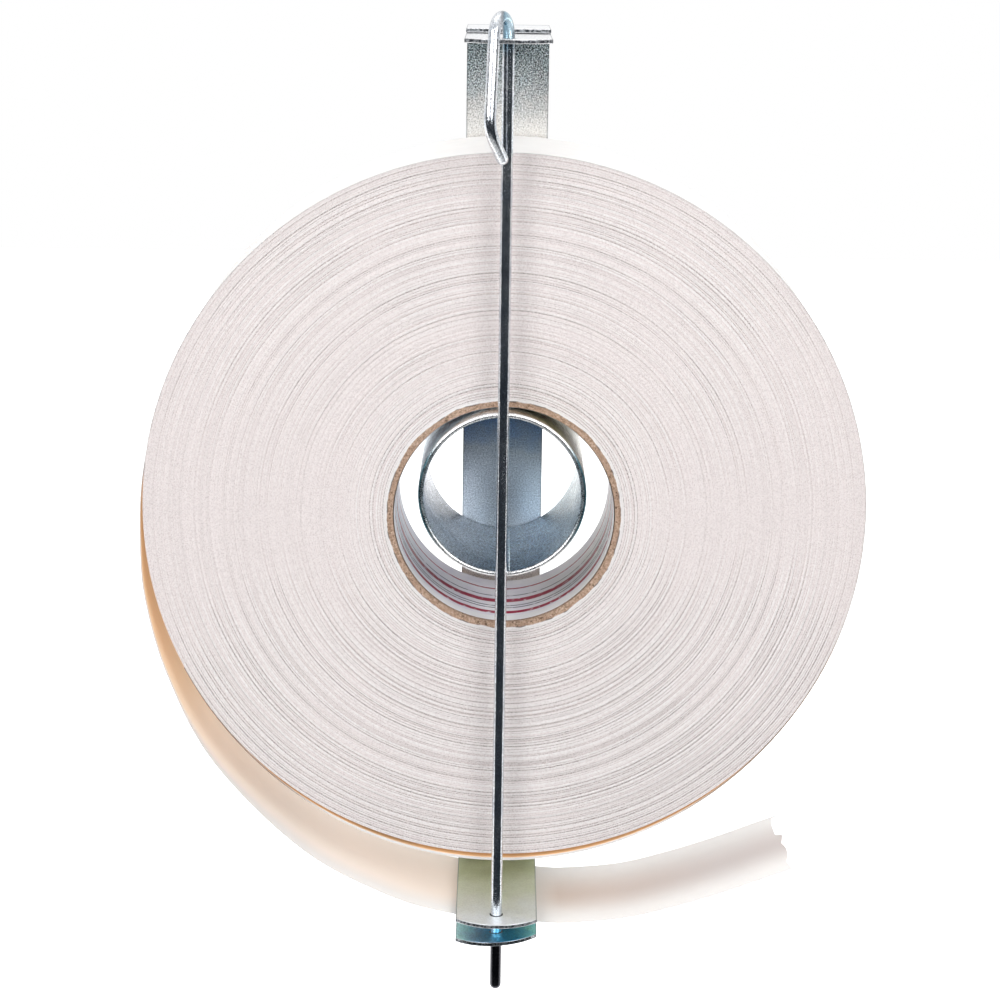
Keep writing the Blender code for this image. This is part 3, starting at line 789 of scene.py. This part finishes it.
# Printed lining inside the core
LINING_LAP_DEG = 8.0
LINING_LAP_START_DEG = 248.0
LINING_THINNED = 0.45
LINING_RAGGED = 0.00012
LINING_ROWS = 24
LINING_STEPS = 360
LINING_SHARP_DEG = 25.0


def make_lining():
    """A thin ring that is thicker where its ends lap, with ragged front and rear edges."""
    inner = LABEL_OUTER - LABEL_THICKNESS
    verts = []
    for step in range(LINING_STEPS):
        degrees = 360.0 * step / LINING_STEPS
        lapped = LINING_LAP_START_DEG < degrees < LINING_LAP_START_DEG + LINING_LAP_DEG
        wall = inner if lapped else inner + LABEL_THICKNESS * LINING_THINNED
        angle = math.radians(degrees)
        ragged = abs(LINING_RAGGED * noise.noise(Vector((math.cos(angle) * 9, math.sin(angle) * 9, 4.0))))
        length = label_high.y - label_low.y - 2 * ragged
        ring = [(wall, label_low.y + MERGE + ragged + length * row / LINING_ROWS)
                for row in range(LINING_ROWS + 1)]
        ring += [(LABEL_OUTER - MERGE, y) for _, y in reversed(ring)]
        verts += [(ROLL_CENTRE.x + radius * math.cos(angle), y, ROLL_CENTRE.z + radius * math.sin(angle))
                  for radius, y in ring]
    faces = grid_faces(LINING_STEPS, 2 * (LINING_ROWS + 1), True, True)
    piece = mesh_piece("core_lining", verts, faces, lining_finish(), LINING_SHARP_DEG)
    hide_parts("core_label")
    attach(piece, "roll")


# Outermost turn of tape and its free tail: the frame's route, in the frame's own values
TURN_START_DEG = 207.0
TURN_SAG_END_DEG = 332.0
TURN_SAG = 0.0016
TURN_STEP_DEG = 2.5
LOOSE_TURNS_BELOW = 0.0006
TAIL_LEAVE_DEG = 168.0
TAIL_DRIFT = 0.0040
TAIL_REAR_DROP = 0.0028
TAIL_STEP = 0.0030
TAIL_FALL_SHARES = (
    (176.0, 0.015), (184.0, 0.050), (194.0, 0.145), (207.0, 0.270),
    (222.0, 0.480), (240.0, 0.715), (254.0, 0.880),
)
TAIL_RISE_SHARES = (
    (0.10, -0.001), (0.26, 0.018), (0.40, 0.056), (0.53, 0.100), (0.64, 0.143), (0.725, 0.176),
)
SLOT_HEIGHT = 0.0051
SLOT_SLANT_SHARE = 0.62
SLOT_ARM_TWIST_DEG = 4.0
SLOT_MID_Z = inner_low.z - SLOT_HEIGHT / 2
TAPE_COLUMNS = 60
TAPE_SHARP_DEG = 50.0
CREASE_DEPTH = 0.00035
CREASE_NARROWS = 2.2
# The torn end: across the width from the rear, and how far it is torn back
TEAR_DEPTH = 0.0030
TEAR_FRAY = 0.00025
TEAR_SHARES = (
    (0.0, 0.0), (0.03, 0.83), (0.14, 1.0), (0.34, 0.87), (0.37, 0.03), (0.50, 0.43),
    (0.62, 0.0), (0.78, 0.10), (0.84, 0.43), (1.0, 0.0),
)


def about_roll(angle_deg, radius):
    angle = math.radians(angle_deg)
    return Vector((ROLL_CENTRE.x + radius * math.cos(angle), ROLL_CENTRE.z + radius * math.sin(angle)))


def smooth_route(points, step):
    """Points along a Catmull-Rom curve through the given ones, about a step apart."""
    route = []
    padded = [points[0] * 2 - points[1]] + points + [points[-1] * 2 - points[-2]]
    for k in range(1, len(padded) - 2):
        a, b, c, d = padded[k - 1:k + 3]
        pieces = max(1, round((c - b).length / step))
        for piece in range(pieces):
            t = piece / pieces
            route.append(0.5 * (2 * b + (c - a) * t + (2 * a - 5 * b + 4 * c - d) * t ** 2
                                + (3 * b - a - 3 * c + d) * t ** 3))
    route.append(points[-1])
    return route


def turn_points():
    end = TAIL_LEAVE_DEG + 360
    steps = round((end - TURN_START_DEG) / TURN_STEP_DEG)
    points = []
    for step in range(steps):
        angle = TURN_START_DEG + (end - TURN_START_DEG) * step / steps
        loose = min(1.0, (angle - TURN_START_DEG) / (TURN_SAG_END_DEG - TURN_START_DEG))
        points.append(about_roll(angle, TURN_INNER + TURN_SAG * math.sin(math.pi * loose) ** 2))
    return points


def tail_points():
    fall = (ROLL_CENTRE.z - SLOT_MID_Z) - TURN_INNER
    points = [about_roll(TAIL_LEAVE_DEG, TURN_INNER)]
    points += [about_roll(angle, TURN_INNER + fall * share) for angle, share in TAIL_FALL_SHARES]
    slant = SLOT_SLANT_SHARE * (SLOT_HEIGHT / 2 - TAPE_THICKNESS)
    clear_rise = HALF_STRAP * math.sin(math.radians(SLOT_ARM_TWIST_DEG)) / 2
    points.append(Vector((-HALF_STRAP, SLOT_MID_Z + slant)))
    slot_end = Vector((HALF_STRAP, SLOT_MID_Z - slant + clear_rise))
    points.append(slot_end)
    points += [slot_end + Vector((along, up)) * ROLL_RADIUS for along, up in TAIL_RISE_SHARES]
    return smooth_route(points, TAIL_STEP)


def share_between(pairs, place):
    for (low, before), (high, after) in zip(pairs, pairs[1:]):
        if place <= high:
            return before + (after - before) * (place - low) / (high - low)
    return pairs[-1][1]


def eased(value):
    value = max(0.0, min(1.0, value))
    return value * value * (3 - 2 * value)


def painted_light_through(on_roll, before_slot, off_roll, t):
    """How strongly the inner side gets the painted warm glow that stands for light through the paper: most
    where it lies close to the roll, least at its front edge.
    """
    if on_roll:
        return eased(off_roll / (0.4 * TURN_SAG)) * eased(t / 0.02)
    if not before_slot:
        return 0.0
    clear = eased(off_roll / 0.0004)
    front = 0.05 + 0.30 * eased((off_roll - 0.006) / 0.012)
    return clear * eased(t / front) * (0.25 + 0.55 * (1 - eased(off_roll / 0.016)))


def soft_band(share, t):
    """The shaded band along the middle of the tail past the slot."""
    past = eased((share - 0.45) / 0.2)
    return (0.70 + 0.30 * share) * past * eased(1 - abs(t - 0.5) / 0.48)


def shaded_brown_edge(angle_deg, off_roll):
    """The painted brown shade line at the front edge where the sag under the roll opens and closes."""
    ends = eased((TURN_SAG_END_DEG + 12 - angle_deg) / 10)
    return 0.9 * ends * (1 - eased((off_roll / TURN_SAG - 0.25) / 0.4))


def make_loose_turn():
    """The strip, column by column across its width, with its crease and its torn end."""
    turn = turn_points()
    tail = tail_points()
    route = turn + tail
    lengths = [0.0]
    for a, b in zip(tail, tail[1:]):
        lengths.append(lengths[-1] + (b - a).length)
    tail_length = lengths[-1]
    verts, through, band, brown = [], [], [], []
    rows = len(route)
    for k, point in enumerate(route):
        on_roll = k < len(turn)
        along = (route[min(k + 1, rows - 1)] - route[max(k - 1, 0)]).normalized()
        out = Vector((along.y, 0.0, -along.x))
        direction = Vector((along.x, 0.0, along.y))
        gone = 0.0 if on_roll else lengths[k - len(turn)]
        left = tail_length - gone
        share = gone / tail_length
        free = min(1.0, share * 3)
        past_slot = max(0, min(1, (point.x + HALF_STRAP) / (4 * HALF_STRAP))) if share else 0
        drop = TAIL_REAR_DROP * past_slot * (1 - share) if point.y < ROLL_CENTRE.z else 0
        front = Vector((point.x, ROLL_FRONT - TAIL_DRIFT * share, point.y))
        rear = Vector((point.x, ROLL_REAR - TAIL_DRIFT * share, point.y - drop))
        off_roll = (point - about_roll(0, 0)).length - TURN_INNER
        before_slot = point.x < HALF_STRAP
        thickness = TAPE_THICKNESS
        edge = 0.0
        if on_roll:
            thickness += LOOSE_TURNS_BELOW * eased(off_roll / TURN_SAG)
            edge = shaded_brown_edge(TURN_START_DEG + TURN_STEP_DEG * k, off_roll)
        for outer in (False, True):
            for column in range(TAPE_COLUMNS + 1):
                t = 1 - column / TAPE_COLUMNS if outer else column / TAPE_COLUMNS
                valley = CREASE_DEPTH * free * max(0.0, 1 - abs(2 * t - 1) * CREASE_NARROWS)
                place = front.lerp(rear, t) + out * (valley + thickness * outer)
                if not on_roll and left < 2 * TEAR_DEPTH:
                    torn = TEAR_DEPTH * share_between(TEAR_SHARES, 1 - t)
                    torn += TEAR_FRAY * noise.noise(Vector((t * 60, 3.0, 0.0)))
                    place = place - direction * torn * (1 - left / (2 * TEAR_DEPTH))
                verts.append(place)
                # Painted light: the warm glow each inner point gets
                through.append(0.0 if outer else painted_light_through(on_roll, before_slot, off_roll, t))
                band.append(0.0 if outer else soft_band(share, t))
                brown.append(edge if t == 0 else 0.0)
    columns = 2 * (TAPE_COLUMNS + 1)
    faces = grid_faces(rows, columns, False, True)
    for row in (0, rows - 1):
        base = row * columns
        for column in range(TAPE_COLUMNS):
            across = base + columns - 1 - column
            faces.append((base + column, base + column + 1, across - 1, across))
    piece = mesh_piece("loose_turn", verts, faces, tape_finish(), TAPE_SHARP_DEG,
                       {"painted_light_through": through, "soft_band": band, "shaded_brown_edge": brown})
    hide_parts("outer_tape_turn")
    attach(piece, "holder")


# Drum
DRUM_STEPS = 240


def make_drum():
    lip = DRUM_WALL / 2
    rear_round = DRUM_WALL / 5
    rear_y = drum_high.y - rear_round
    profile = arc(DRUM_INNER + lip, drum_low.y + lip, lip, 180, 360, 10)
    profile += arc(DRUM_OUTER - rear_round, rear_y, rear_round, 0, 90, 3)
    profile += arc(DRUM_INNER + rear_round, rear_y, rear_round, 90, 180, 3)
    finish = zinc_finish("zinc_tube", drum_tint, 0.28, 0.00007, drum_speckle)
    piece = turned("drum_tube", DRUM_CENTRE, profile, DRUM_STEPS, finish)
    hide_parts("hub_drum")
    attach(piece, "holder")


# Seam inside the drum
SEAM_SIDE = 0.0028
SEAM_FRONT_EASE = 0.0016
SEAM_REAR_EASE = 0.0030
BEAD_SPACING = 0.0009
BEAD_RADIUS = 0.00027
BEAD_SMALLEST = 0.65
BEAD_LARGEST = 1.25
BEAD_SEED = 5


def seam_tree(material):
    """Small round beads in a row along Y, each a little different in size."""
    tree, sockets, given = start_tree(
        "drum_seam_beads", ("Start X", "Start Y", "Start Z", "Spacing", "Radius"), ("Count", "Seed"))
    row = add_node(tree, "GeometryNodeMeshLine", {
        "Count": given["Count"], "Offset": joined(0.0, given["Spacing"], 0.0),
        "Start Location": joined(given["Start X"], given["Start Y"], given["Start Z"])})
    bead = add_node(tree, "GeometryNodeMeshIcoSphere", {"Radius": given["Radius"], "Subdivisions": 2})
    size = add_node(tree, "FunctionNodeRandomValue", {"Seed": given["Seed"]}, data_type="FLOAT")
    size.inputs[2].default_value = BEAD_SMALLEST
    size.inputs[3].default_value = BEAD_LARGEST
    beads = add_node(tree, "GeometryNodeInstanceOnPoints", {
        "Points": row.outputs["Mesh"], "Instance": bead.outputs["Mesh"], "Scale": size.outputs[1]})
    end_tree(tree, beads.outputs[0], material)
    return tree, sockets


def make_seam():
    """Beads half sunk in the drum's wall, along its floor beside the rod."""
    tree, sockets = seam_tree(zinc_finish("seam_beads", seam_tint, 0.30, 0.00002, 0.2))
    first_y = drum_low.y + SEAM_FRONT_EASE
    piece = made_by_nodes("drum_seam", tree, sockets, {
        "Start X": SEAM_SIDE, "Start Y": first_y,
        "Start Z": DRUM_CENTRE.z - math.sqrt(DRUM_INNER ** 2 - SEAM_SIDE ** 2),
        "Spacing": BEAD_SPACING, "Radius": BEAD_RADIUS,
        "Count": int((drum_high.y - SEAM_REAR_EASE - first_y) / BEAD_SPACING), "Seed": BEAD_SEED})
    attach(piece, "holder")


# Rod: the frame's path, in the frame's own values
HOOK_LEG_SIDE = 0.0048
HOOK_LEG_GAP = 0.0006
HOOK_KNEE_DROP = 0.0291
HOOK_KNEE_SIDE = 0.0011
HOOK_KNEE_SPLAY = 0.0060
HOOK_KNEE_RADIUS = 0.0060
HOOK_TIP_DROP = 0.0116
HOOK_TIP_SIDE = 0.0016
HOOK_TIP_BACK = 0.0056
STRAIGHT_STEPS = 60
BEND_STEPS = 28
KNEE_STEPS = 12
WIRE_SIDES = 32
DOME_STEPS = 6


def rounded_corner(before, corner, after, radius, steps):
    coming = (corner - before).normalized()
    going = (after - corner).normalized()
    turn = coming.angle(going)
    back_off = min(radius * math.tan(turn / 2) * 2, (after - corner).length / 2)
    first = corner - coming * back_off
    last = corner + going * back_off
    points = []
    for step in range(steps + 1):
        t = step / steps
        points.append(first * (1 - t) ** 2 + corner * 2 * t * (1 - t) + last * t ** 2)
    return points


def rod_path():
    rod_y = drum_low.y - SEAT_GAP - ROD_RADIUS
    leg_y = inner_low.y - HOOK_LEG_GAP - ROD_RADIUS
    reach_len = math.hypot(HOOK_LEG_SIDE, leg_y - rod_y) / 2
    bend_z = rod_high.z - ROD_RADIUS - reach_len
    rod_top = Vector((0, rod_y, bend_z))
    leg_top = Vector((-HOOK_LEG_SIDE, leg_y, bend_z))
    knee = leg_top + Vector((-HOOK_KNEE_SIDE, -HOOK_KNEE_SPLAY, -HOOK_KNEE_DROP))
    tip = Vector((-HOOK_TIP_SIDE, knee.y + HOOK_TIP_BACK, knee.z - HOOK_TIP_DROP + ROD_RADIUS))
    middle = (rod_top + leg_top) / 2
    reach = rod_top - middle
    up = Vector((0, 0, reach.length))
    over = math.pi - math.atan2(HOOK_KNEE_SPLAY, HOOK_KNEE_DROP)
    low_z = rod_low.z + ROD_RADIUS
    path = [Vector((0, rod_y, low_z + (bend_z - low_z) * step / STRAIGHT_STEPS))
            for step in range(STRAIGHT_STEPS + 1)]
    for step in range(1, BEND_STEPS + 1):
        angle = over * step / BEND_STEPS
        path.append(middle + reach * math.cos(angle) + up * math.sin(angle))
    path += rounded_corner(path[-1], knee, tip, HOOK_KNEE_RADIUS, KNEE_STEPS)
    path.append(tip)
    return path


def swept(name, path, radius, sides, material):
    """A round wire along a path with domed ends."""
    tilts = [math.pi / 2 * step / DOME_STEPS for step in range(1, DOME_STEPS)]
    dome = [(math.cos(tilt), math.sin(tilt)) for tilt in tilts]
    start = (path[0] - path[1]).normalized()
    end = (path[-1] - path[-2]).normalized()
    stations = [(path[0] + start * radius * out, size) for size, out in reversed(dome)]
    stations += [(point, 1.0) for point in path]
    stations += [(path[-1] + end * radius * out, size) for size, out in dome]
    verts = []
    across = Vector((1, 0, 0))
    places = [place for place, _ in stations]
    for k, (place, size) in enumerate(stations):
        along = (places[min(k + 1, len(places) - 1)] - places[max(k - 1, 0)]).normalized()
        across = (across - along * across.dot(along)).normalized()
        third = along.cross(across)
        for side in range(sides):
            angle = 2 * math.pi * side / sides
            verts.append(place + (across * math.cos(angle) + third * math.sin(angle)) * radius * size)
    faces = grid_faces(len(stations), sides, False, True)
    first = len(verts)
    verts.append(path[0] + start * radius)
    verts.append(path[-1] + end * radius)
    last_ring = (len(stations) - 1) * sides
    for side in range(sides):
        beside = (side + 1) % sides
        faces.append((first, beside, side))
        faces.append((first + 1, last_ring + side, last_ring + beside))
    return mesh_piece(name, verts, faces, material)


def make_rod():
    finish = zinc_finish("zinc_wire", wire_tint, 0.16, 0.00006, 0.45, LENGTHWISE)
    piece = swept("rod_wire", rod_path(), ROD_RADIUS - MERGE, WIRE_SIDES, finish)
    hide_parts("retaining_rod")
    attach(piece, "rod")


# Straps and weld beads
ARM_FRONT = -0.02
EDGE_ROUNDING = 0.0005
FLAT_DEG = 0.5
KEEN_DEG = 55


def is_cut_edge(face):
    """A face on a strap's long edge, or an upright one at the front of its arms."""
    return abs(face.normal.x) > 0.8 or (abs(face.normal.z) < 0.3 and face.center.y < ARM_FRONT)


def smooth_copy(name, node, body, material, sharp_deg=30.0, rounding=0.0):
    """The node's own shape with its triangles merged, its bends smooth and its edges a little rounded.

    It marks the faces that are cut edges and those that face up, for the finish to read.
    """
    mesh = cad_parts[node].data.copy()
    mesh.name = name
    shell = bmesh.new()
    shell.from_mesh(mesh)
    bmesh.ops.remove_doubles(shell, verts=shell.verts, dist=MERGE)
    if rounding:
        bmesh.ops.dissolve_limit(shell, angle_limit=math.radians(FLAT_DEG), verts=shell.verts,
                                 edges=shell.edges)
        keen = [edge for edge in shell.edges
                if edge.is_manifold and edge.calc_face_angle() > math.radians(KEEN_DEG)]
        bmesh.ops.bevel(shell, geom=keen, offset=rounding, offset_type="OFFSET", segments=3, profile=0.5,
                        affect="EDGES", clamp_overlap=True)
    shell.to_mesh(mesh)
    shell.free()
    mesh.shade_smooth()
    mesh.set_sharp_from_angle(angle=math.radians(sharp_deg))
    cut = [float(is_cut_edge(face)) for face in mesh.polygons]
    up = [float(face.normal.z > 0.5) for face in mesh.polygons]
    for key, values in (("cut_edge", cut), ("facing_up", up)):
        mesh.attributes.new(key, "FLOAT", "FACE").data.foreach_set("value", values)
    mesh.materials.clear()
    mesh.materials.append(material)
    piece = bpy.data.objects.new(name, mesh)
    bpy.context.collection.objects.link(piece)
    even = piece.modifiers.new("true_flats", "WEIGHTED_NORMAL")
    even.keep_sharp = True
    even.weight = 100
    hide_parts(node)
    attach(piece, body)


def make_straps():
    inner = zinc_finish("zinc_inner_strap", inner_strap_tint, 0.40, 0.00008, inner_strap_speckle,
                        LENGTHWISE, inner_strap_rougher)
    belt = zinc_finish("zinc_belt_strap", belt_strap_tint, 0.32, 0.00006, 0.40, LENGTHWISE)
    bead = zinc_finish("weld_bead", bead_tint, 0.42, 0.00012, 0.4)
    smooth_copy("strap_inner_c", "inner_strap", "holder", inner, rounding=EDGE_ROUNDING)
    smooth_copy("strap_belt_side", "belt_strap", "holder", belt, rounding=EDGE_ROUNDING)
    smooth_copy("weld_bead_top", "drum_weld_top", "holder", bead, 60.0)
    smooth_copy("weld_bead_bottom", "drum_weld_bottom", "holder", bead, 60.0)


# Stage
FLOOR_Z = -1.0
FLOOR_FRONT = -0.35
FLOOR_BACK = 7.0
FLOOR_HALF_WIDTH = 7.0
FLOOR_COLOUR = (0.86, 0.86, 0.86, 1.0)
ROOM_COLOUR = (0.020, 0.026, 0.034)
LAMPS = (
    # name, place, aim, size, watts
    ("front_left", (-0.85, -1.30, 0.72), (0.0, -0.05, 0.0), (0.9, 0.7), 11.0),
    ("front_right", (0.85, -1.30, 0.72), (0.0, -0.05, 0.0), (0.9, 0.7), 11.0),
    ("overhead", (0.0, 0.0, 1.35), (0.0, -0.03, 0.0), (1.3, 1.0), 3.0),
)


def make_camera():
    forward = Vector((math.sin(CAMERA_YAW) * math.cos(CAMERA_PITCH),
                      math.cos(CAMERA_YAW) * math.cos(CAMERA_PITCH), -math.sin(CAMERA_PITCH)))
    level = Vector((math.cos(CAMERA_YAW), -math.sin(CAMERA_YAW), 0.0))
    above = level.cross(forward)
    right = level * math.cos(CAMERA_ROLL) + above * math.sin(CAMERA_ROLL)
    up = above * math.cos(CAMERA_ROLL) - level * math.sin(CAMERA_ROLL)
    data = bpy.data.cameras.new("camera")
    data.sensor_width = SENSOR_WIDTH_MM
    data.lens = FOCAL_LENGTH_PX * SENSOR_WIDTH_MM / PHOTO_SIZE_PX
    camera = bpy.data.objects.new("camera", data)
    turned_to = Matrix((right, up, -forward)).transposed().to_4x4()
    camera.matrix_world = Matrix.Translation(CAMERA_PLACE) @ turned_to
    bpy.context.collection.objects.link(camera)
    bpy.context.scene.camera = camera


def make_lamps():
    for name, place, aim, size, watts in LAMPS:
        data = bpy.data.lights.new(name, "AREA")
        data.shape = "RECTANGLE"
        data.size, data.size_y = size
        data.energy = watts
        lamp = bpy.data.objects.new(name, data)
        lamp.location = place
        lamp.rotation_euler = (Vector(aim) - Vector(place)).to_track_quat("-Z", "Y").to_euler()
        bpy.context.collection.objects.link(lamp)


def make_world():
    """White for the camera, and otherwise behind, above and below the object; dim in front."""
    world = bpy.data.worlds.new("studio")
    bpy.context.scene.world = world
    world.use_nodes = True
    tree = world.node_tree
    background = tree.nodes["Background"]
    y, z = axes_of(add_node(tree, "ShaderNodeTexCoord").outputs["Generated"], "YZ")
    behind = ranged(y, -0.05, 0.16)
    overhead = ranged(z, 0.10, 0.32, 0.0, 0.9)
    below = ranged(z, -0.55, -0.75, 0.0, 0.6)
    bright = maths("MAXIMUM", maths("MAXIMUM", behind, overhead), below)
    room = mixed(bright, ROOM_COLOUR, WHITE)
    seen = add_node(tree, "ShaderNodeLightPath").outputs["Is Camera Ray"]
    feed(background, "Color", mixed(seen, room, WHITE))


def make_floor():
    verts = [(side * FLOOR_HALF_WIDTH, end, FLOOR_Z)
             for side, end in ((-1, FLOOR_FRONT), (1, FLOOR_FRONT), (1, FLOOR_BACK), (-1, FLOOR_BACK))]
    mesh = bpy.data.meshes.new("floor")
    mesh.from_pydata(verts, [], [(0, 1, 2, 3)])
    material = bpy.data.materials.new("pale_floor")
    material.use_nodes = True
    tree = material.node_tree
    shader = tree.nodes["Principled BSDF"]
    shader.inputs["Base Color"].default_value = FLOOR_COLOUR
    shader.inputs["Roughness"].default_value = 0.9
    path = add_node(tree, "ShaderNodeLightPath")
    seen = maths("MAXIMUM", path.outputs["Is Camera Ray"], path.outputs["Is Glossy Ray"])
    seen = maths("MAXIMUM", seen, path.outputs["Is Transmission Ray"])
    glow = add_node(tree, "ShaderNodeEmission", {"Color": (*WHITE, 1.0), "Strength": seen})
    both = add_node(tree, "ShaderNodeAddShader", {0: shader.outputs[0], 1: glow.outputs[0]})
    tree.links.new(both.outputs[0], tree.nodes["Material Output"].inputs["Surface"])
    mesh.materials.append(material)
    floor = bpy.data.objects.new("floor", mesh)
    bpy.context.collection.objects.link(floor)


bpy.context.scene.view_settings.view_transform = "Standard"
make_camera()
make_lamps()
make_world()
make_floor()
make_wound_tape()
make_core()
make_lining()
make_loose_turn()
make_drum()
make_seam()
make_rod()
make_straps()
